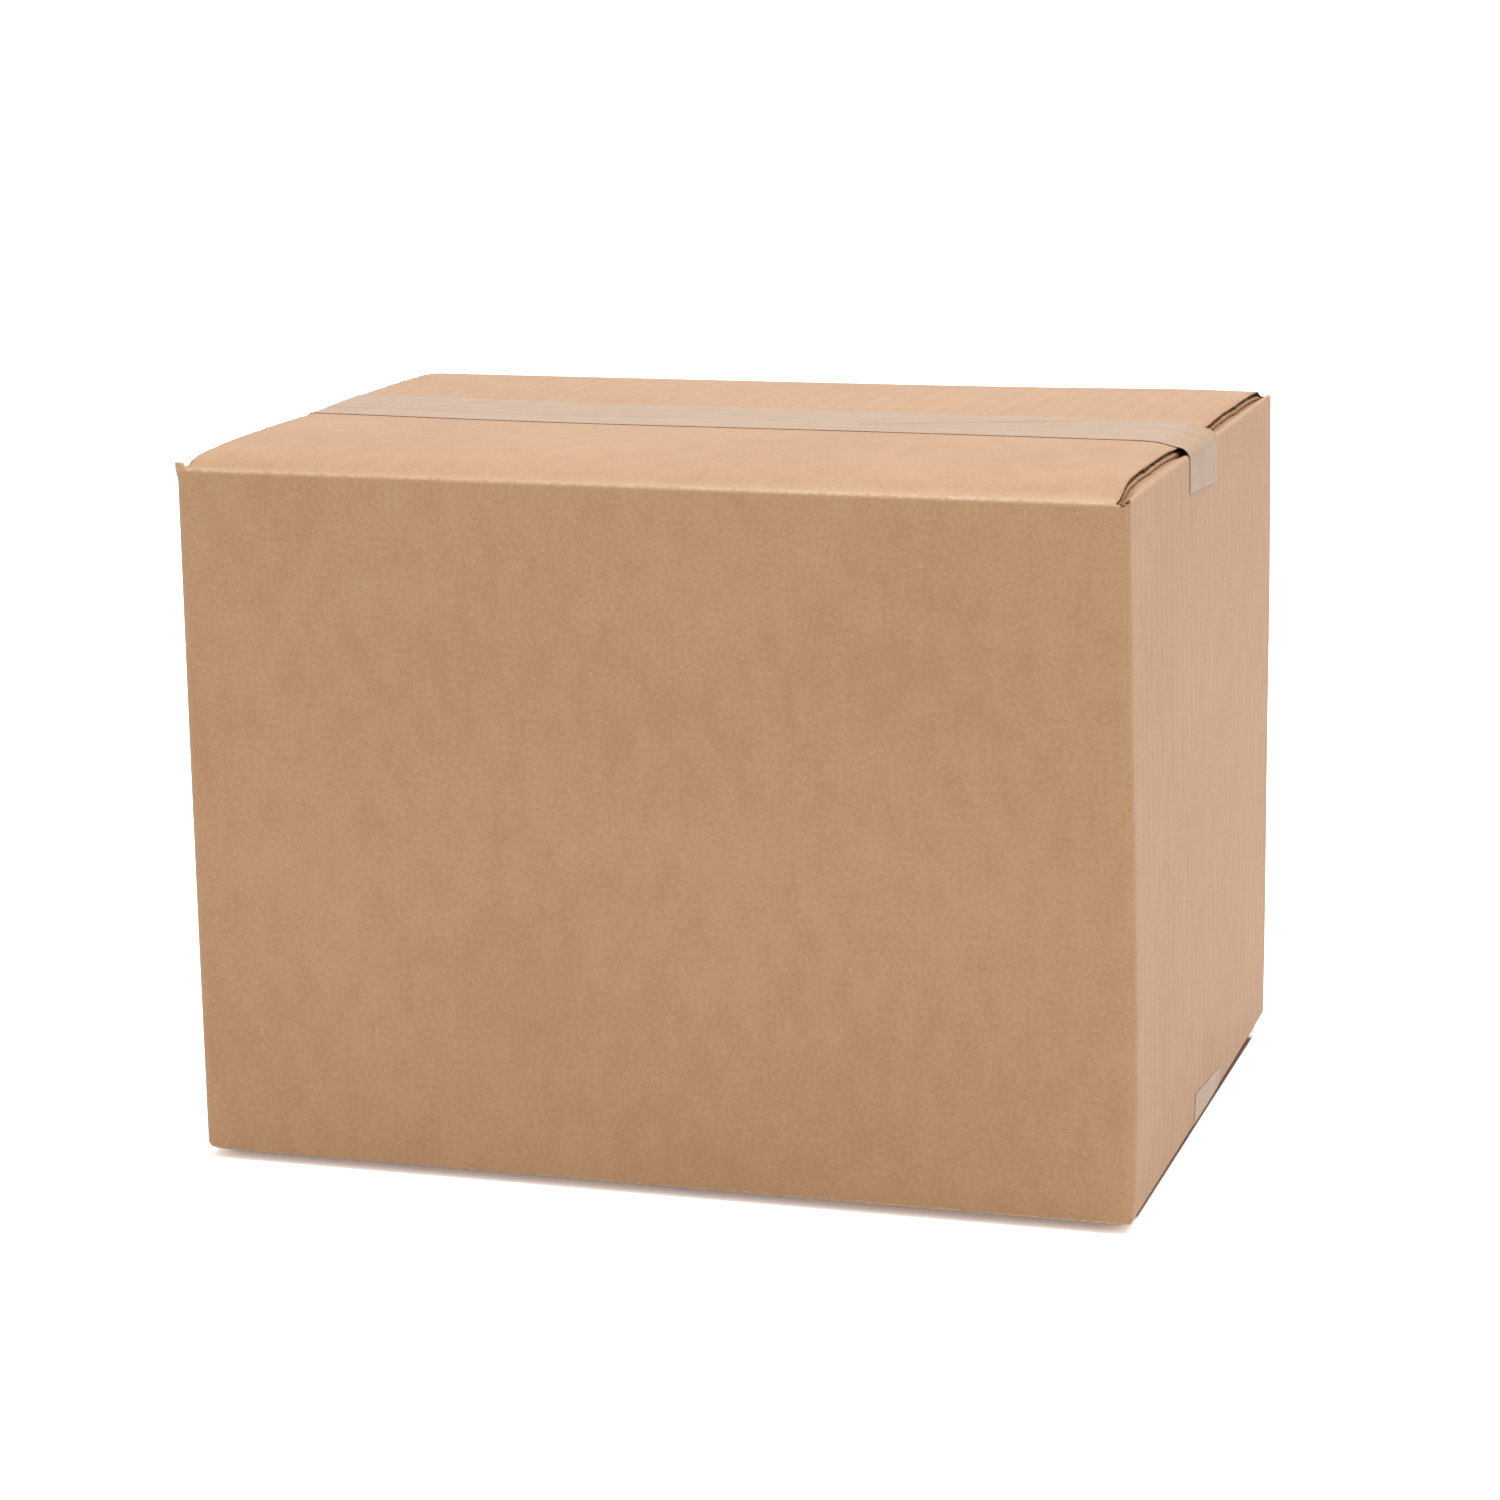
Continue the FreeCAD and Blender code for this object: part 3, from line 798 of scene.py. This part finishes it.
def taped_kraft(light, dark):
    """Clear polypropylene packing film, rolled onto kraft board with an acrylic glue.

    The eye sees the kraft a little greyer and smoother, with a satin sheen drawn out
    along the strip, and honey coloured puckers where the film has lifted. The lines that
    drawing leaves are far finer than 1 mm and are drawn 4 mm wide to show.
    """
    film = new_material("packing_film")
    where = add(film, "TexCoord").outputs["Object"]
    strip = add(film, "UVMap", uv_map="strip")
    colour, tone = kraft_colour(film, where, light, dark, "#c6a98c", "#7a5a40")
    streaks = speckle(film, strip, 4.0, 3.0, (0.06, 1, 1))
    drawn = add(film, "MapRange", {0: streaks, 1: 0.3, 2: 0.7}, **SOFTLY)
    faint = add(film, "Math", {0: drawn, 1: 0.25}, **TIMES)
    lifted = add(film, "Attribute", attribute_name="lifted").outputs["Fac"]
    # The brown line by the film's edge is partly glue and dirt and partly painted shadow
    for share, tint in ((faint, "#c6ad96"), (lifted, "#b1834d"),
                        (edge_glue_and_shadow(film, strip), "#6e4a2d")):
        colour = add(film, "Mix", {SHARE: share, UNDER: colour, OVER: linear(tint)}, **COLOURS)
    rough = add(film, "Math", {0: drawn, 1: 0.15, 2: 0.3}, **TIMES_PLUS)
    relief = add(film, "Math", {0: drawn, 1: DRAWN_RELIEF}, **TIMES)
    relief = add(film, "Math", {0: tone, 1: FILM_RELIEF, 2: relief}, **TIMES_PLUS)
    bump = add(film, "Bump", {"Strength": 0.5, "Distance": MM, "Height": relief})
    shader = add(film, "BsdfPrincipled", {"Base Color": colour, "Roughness": rough,
                                          "IOR": 1.49, "Normal": bump})
    add(film, "OutputMaterial", {0: shader})
    return film


def film_edge_and_shadow():
    """The film's slit edge: a thin brown line, partly its glue and partly painted shadow along
    the edge.

    The film on top is drawn 0.14 mm thick, about three times the real one, or its edge
    wouldn't show.
    """
    film = new_material("film_edge_and_shadow")
    # Painted shadow in part: the rim is brown, darker than the film it edges
    shader = add(film, "BsdfPrincipled", {"Base Color": linear("#7d5a3c"), "Roughness": 0.6})
    add(film, "OutputMaterial", {0: shader})
    return film


def sweep_paper():
    """White background paper. The camera sees it lit from behind, with the box's shadow.

    To the camera it is two white sheets' light and a faint glow, more than real paper
    gives; to all other rays it is plain white paper. The strip of it hidden beneath the
    taped end is painted dark, a painted shadow for the gap it lies in.
    """
    paper = new_material("sweep_paper")
    plain = add(paper, "BsdfDiffuse", {0: linear("#fafafa")})
    white = add(paper, "BsdfDiffuse", {0: linear("#ffffff")})
    glow = add(paper, "Emission", {"Color": linear("#ffffff"), "Strength": GLOW})
    lit = add(paper, "AddShader", {0: white, 1: add(paper, "AddShader", {0: white, 1: glow})})
    spot = add(paper, "SeparateXYZ", {0: add(paper, "TexCoord").outputs["Object"]})
    aside = add(paper, "Math", {0: spot.outputs[1]}, operation="ABSOLUTE")
    under = 1.0
    for value, (unseen, full) in ((spot.outputs[0], SHADOW_FAR), (spot.outputs[0], SHADOW_NEAR),
                                  (aside, SHADOW_SIDE)):
        limit = add(paper, "MapRange", {0: value, 1: unseen * MM, 2: full * MM}, **SOFTLY)
        under = add(paper, "Math", {0: under, 1: limit}, **TIMES)
    # Painted shadow: a dark diffuse strip under the taped end, seen by the camera only
    dark = add(paper, "BsdfDiffuse", {0: linear("#97897d")})
    lit = add(paper, "MixShader", {0: under, 1: lit, 2: dark})
    camera = add(paper, "LightPath").outputs["Is Camera Ray"]
    add(paper, "OutputMaterial", {0: add(paper, "MixShader", {0: camera, 1: plain, 2: lit})})
    return paper


def build_floor():
    sheet = bmesh.new()
    bmesh.ops.create_grid(sheet, x_segments=1, y_segments=1, size=FLOOR_REACH)
    return into_object(sheet, "floor", sweep_paper())


def hang_softbox(name, place, target, size, power):
    lamp = bpy.data.lights.new(name, "AREA")
    lamp.shape = "RECTANGLE"
    lamp.size, lamp.size_y = size
    lamp.energy = power
    made = bpy.data.objects.new(name, lamp)
    made.location = place
    made.rotation_euler = (Vector(target) - Vector(place)).to_track_quat("-Z", "Y").to_euler()
    bpy.context.scene.collection.objects.link(made)


def white_studio():
    """Even white light from all round, with the world white to the camera too."""
    world = bpy.data.worlds.new("white_studio")
    bpy.context.scene.world = world
    world.use_nodes = True
    world.node_tree.nodes.clear()
    path = add(world, "LightPath")
    direct = path.outputs["Is Camera Ray"]
    for kind in ("Is Glossy Ray", "Is Transmission Ray"):
        direct = add(world, "Math", {0: direct, 1: path.outputs[kind]}, operation="MAXIMUM")
    dim = add(world, "Background", {"Color": linear("#ffffff"), "Strength": ROOM_LIGHT})
    white = add(world, "Background", {"Color": linear("#ffffff"), "Strength": 1.0})
    both = add(world, "MixShader", {0: direct, 1: dim, 2: white})
    add(world, "OutputWorld", {0: both})


def place_camera():
    """The photograph's view: from the front, a little to the right and above."""
    heading = Vector((math.sin(CAMERA_TURN), math.cos(CAMERA_TURN), 0))
    forward = heading * math.cos(CAMERA_TILT) - Vector((0, 0, math.sin(CAMERA_TILT)))
    level = Vector((heading.y, -heading.x, 0))
    upright = level.cross(forward)
    right = level * math.cos(CAMERA_ROLL) + upright * math.sin(CAMERA_ROLL)
    up = upright * math.cos(CAMERA_ROLL) - level * math.sin(CAMERA_ROLL)
    optics = bpy.data.cameras.new("camera")
    optics.sensor_width = SENSOR_MM
    optics.lens = FOCAL_PIXELS / PHOTO_PIXELS * SENSOR_MM
    optics.clip_end = 100
    camera = bpy.data.objects.new("camera", optics)
    axes = Matrix((right, up, -forward)).transposed().to_4x4()
    camera.matrix_world = Matrix.Translation(Vector(CAMERA_PLACE)) @ axes
    bpy.context.scene.collection.objects.link(camera)
    bpy.context.scene.camera = camera


place_camera()
white_studio()
hang_softbox("overhead_softbox", place=(0.3, 0.3, 2.2), target=(0, 0, 0.1), size=(2.4, 2.4),
             power=35)
build_floor()

carton = build_carton()
top_tape = build_tape("top_tape_film", middles=(8.5, -7.0), tails=(14.2, 17.4), is_top=True,
                      materials=(taped_kraft("#b79474", "#ac8967"), film_edge_and_shadow()))
# The base film's colours are lighter than the top film's: a painted reflection of the white floor
# in its sheen
bottom_tape = build_tape("bottom_tape_film", middles=(3.0, 5.0), tails=(13.0, 8.5), is_top=False,
                         materials=(taped_kraft("#c4a88f", "#b99d83"), film_edge_and_shadow()))
for piece, node, slot in ((carton, "carton", "kraft_board"),
                          (top_tape, "top_tape", "packing_tape"),
                          (bottom_tape, "bottom_tape", "packing_tape")):
    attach(piece, "root")
    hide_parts(node)

bpy.context.scene.view_settings.view_transform = "Standard"
